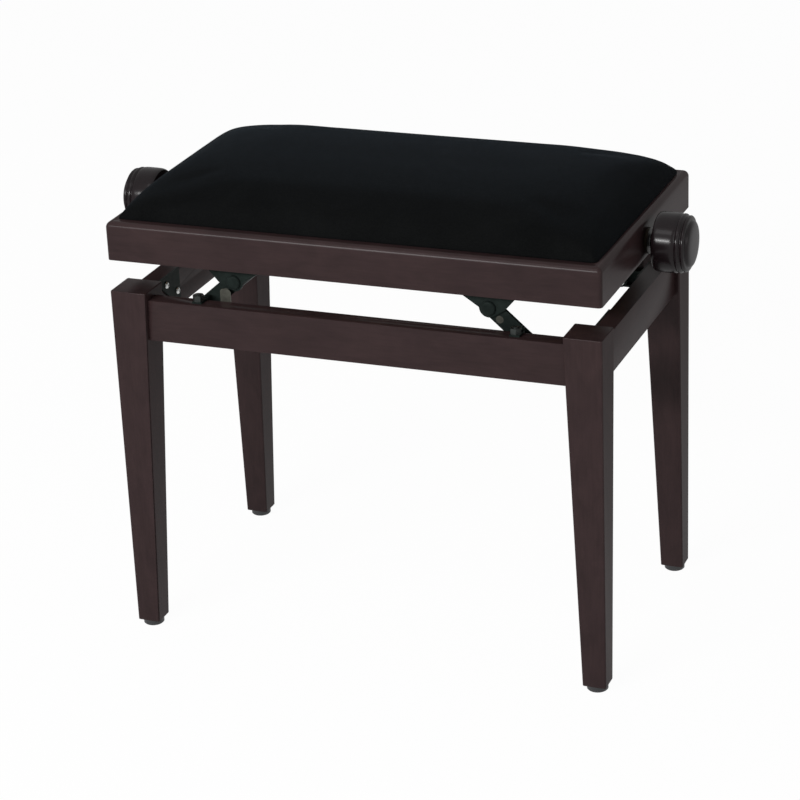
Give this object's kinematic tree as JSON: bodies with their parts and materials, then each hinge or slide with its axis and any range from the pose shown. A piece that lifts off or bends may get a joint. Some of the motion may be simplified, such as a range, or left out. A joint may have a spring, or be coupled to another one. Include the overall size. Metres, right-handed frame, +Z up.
{
  "type": "adjustable piano bench",
  "caption": "Height-adjustable bench with a padded rectangular seat on a four-legged frame; turning a side knob drives a screw and lever lift that raises or lowers the seat.",
  "frame": {"origin": "on the floor, in the middle of the footprint", "axes": "+X right along the seat's length, +Y to the rear (front faces -Y), +Z up"},
  "size_m": [0.6514, 0.325, 0.5191],
  "materials": {
    "dark_wood": "satin lacquer over dark stained wood, faint grain",
    "knob_wood": "turned and polished dark stained wood",
    "seat_board_wood": "bare plywood",
    "velvet": "black velvet pile",
    "dark_steel": "dark grey-green enamel on sheet steel",
    "zinc_steel": "bright zinc-plated steel",
    "spindle_steel": "lightly oiled drawn steel",
    "bush_brass": "dull turned brass",
    "glide_plastic": "matt black"
  },
  "bodies": {
    "base": {"base_rail_front": "dark_wood", "base_rail_left": "dark_wood", "base_rail_rear": "dark_wood", "base_rail_right": "dark_wood", "end_plate_front_left": "dark_steel", "end_plate_front_right": "dark_steel", "end_plate_rear_left": "dark_steel", "end_plate_rear_right": "dark_steel", "end_plate_screws": "zinc_steel", "glides": "glide_plastic", "leg_front_left": "dark_wood", "leg_front_right": "dark_wood", "leg_rear_left": "dark_wood", "leg_rear_right": "dark_wood", "stop_lug_screws": "zinc_steel", "stop_lugs": "zinc_steel", "track_front_left": "dark_steel", "track_front_right": "dark_steel", "track_nuts": "dark_steel", "track_rear_left": "dark_steel", "track_rear_right": "dark_steel", "track_screws": "zinc_steel", "track_studs": "zinc_steel"},
    "seat": {"cushion": "velvet", "ear_screws": "zinc_steel", "pivot_ear_front_left": "dark_steel", "pivot_ear_front_right": "dark_steel", "pivot_ear_rear_left": "dark_steel", "pivot_ear_rear_right": "dark_steel", "pivot_pins": "dark_steel", "seat_board": "seat_board_wood", "seat_rail_front": "dark_wood", "seat_rail_left": "dark_wood", "seat_rail_rear": "dark_wood", "seat_rail_right": "dark_wood", "spindle_bush_left": "bush_brass", "spindle_bush_right": "bush_brass"},
    "lift_frame_left": {"arm_rivets_left": "zinc_steel", "lift_arm_front_left": "dark_steel", "lift_arm_rear_left": "dark_steel", "lift_tube_left": "dark_steel", "roller_pins_left": "zinc_steel", "rollers_left": "spindle_steel"},
    "lift_frame_right": {"arm_rivets_right": "zinc_steel", "lift_arm_front_right": "dark_steel", "lift_arm_rear_right": "dark_steel", "lift_tube_right": "dark_steel", "roller_pins_right": "zinc_steel", "rollers_right": "spindle_steel"},
    "traverse_left": {"traverse_bar_left": "dark_steel", "traverse_nut_left": "bush_brass", "traverse_pins_left": "zinc_steel"},
    "traverse_right": {"traverse_bar_right": "dark_steel", "traverse_nut_right": "bush_brass", "traverse_pins_right": "zinc_steel"},
    "spindle": {"spindle": "spindle_steel", "spindle_collars": "spindle_steel", "knob_left": "knob_wood", "knob_right": "knob_wood"}
  },
  "joints": [
    {"name": "seat_lift", "type": "slide", "parent": "base", "child": "seat", "axis": [0, 0, 1], "range_m": [-0.03, 0.018]},
    {"name": "lift_frame_left_pivot", "type": "hinge", "parent": "seat", "child": "lift_frame_left", "pos_m": [-0.1436, 0, 0.4135], "axis": [0, -1, 0], "range_deg": [-25.2, 15.2]},
    {"name": "lift_frame_right_pivot", "type": "hinge", "parent": "seat", "child": "lift_frame_right", "pos_m": [0.1436, 0, 0.4135], "axis": [0, 1, 0], "range_deg": [-25.2, 15.2]},
    {"name": "traverse_left_slide", "type": "slide", "parent": "seat", "child": "traverse_left", "axis": [-1, 0, 0], "range_m": [-0.0188, 0.0113]},
    {"name": "traverse_right_slide", "type": "slide", "parent": "seat", "child": "traverse_right", "axis": [1, 0, 0], "range_m": [-0.0188, 0.0113]},
    {"name": "spindle_turn", "type": "hinge", "parent": "seat", "child": "spindle", "pos_m": [0, 0, 0.4545], "axis": [1, 0, 0], "range_deg": [-1125, 680]}
  ],
  "couplings": [
    {"joint": "lift_frame_left_pivot", "follows": "seat_lift", "rad_per_m": 14.5},
    {"joint": "lift_frame_right_pivot", "follows": "seat_lift", "rad_per_m": 14.5},
    {"joint": "traverse_left_slide", "follows": "seat_lift", "ratio": 0.62},
    {"joint": "traverse_right_slide", "follows": "seat_lift", "ratio": 0.62},
    {"joint": "spindle_turn", "follows": "seat_lift", "rad_per_m": 649.26}
  ]
}
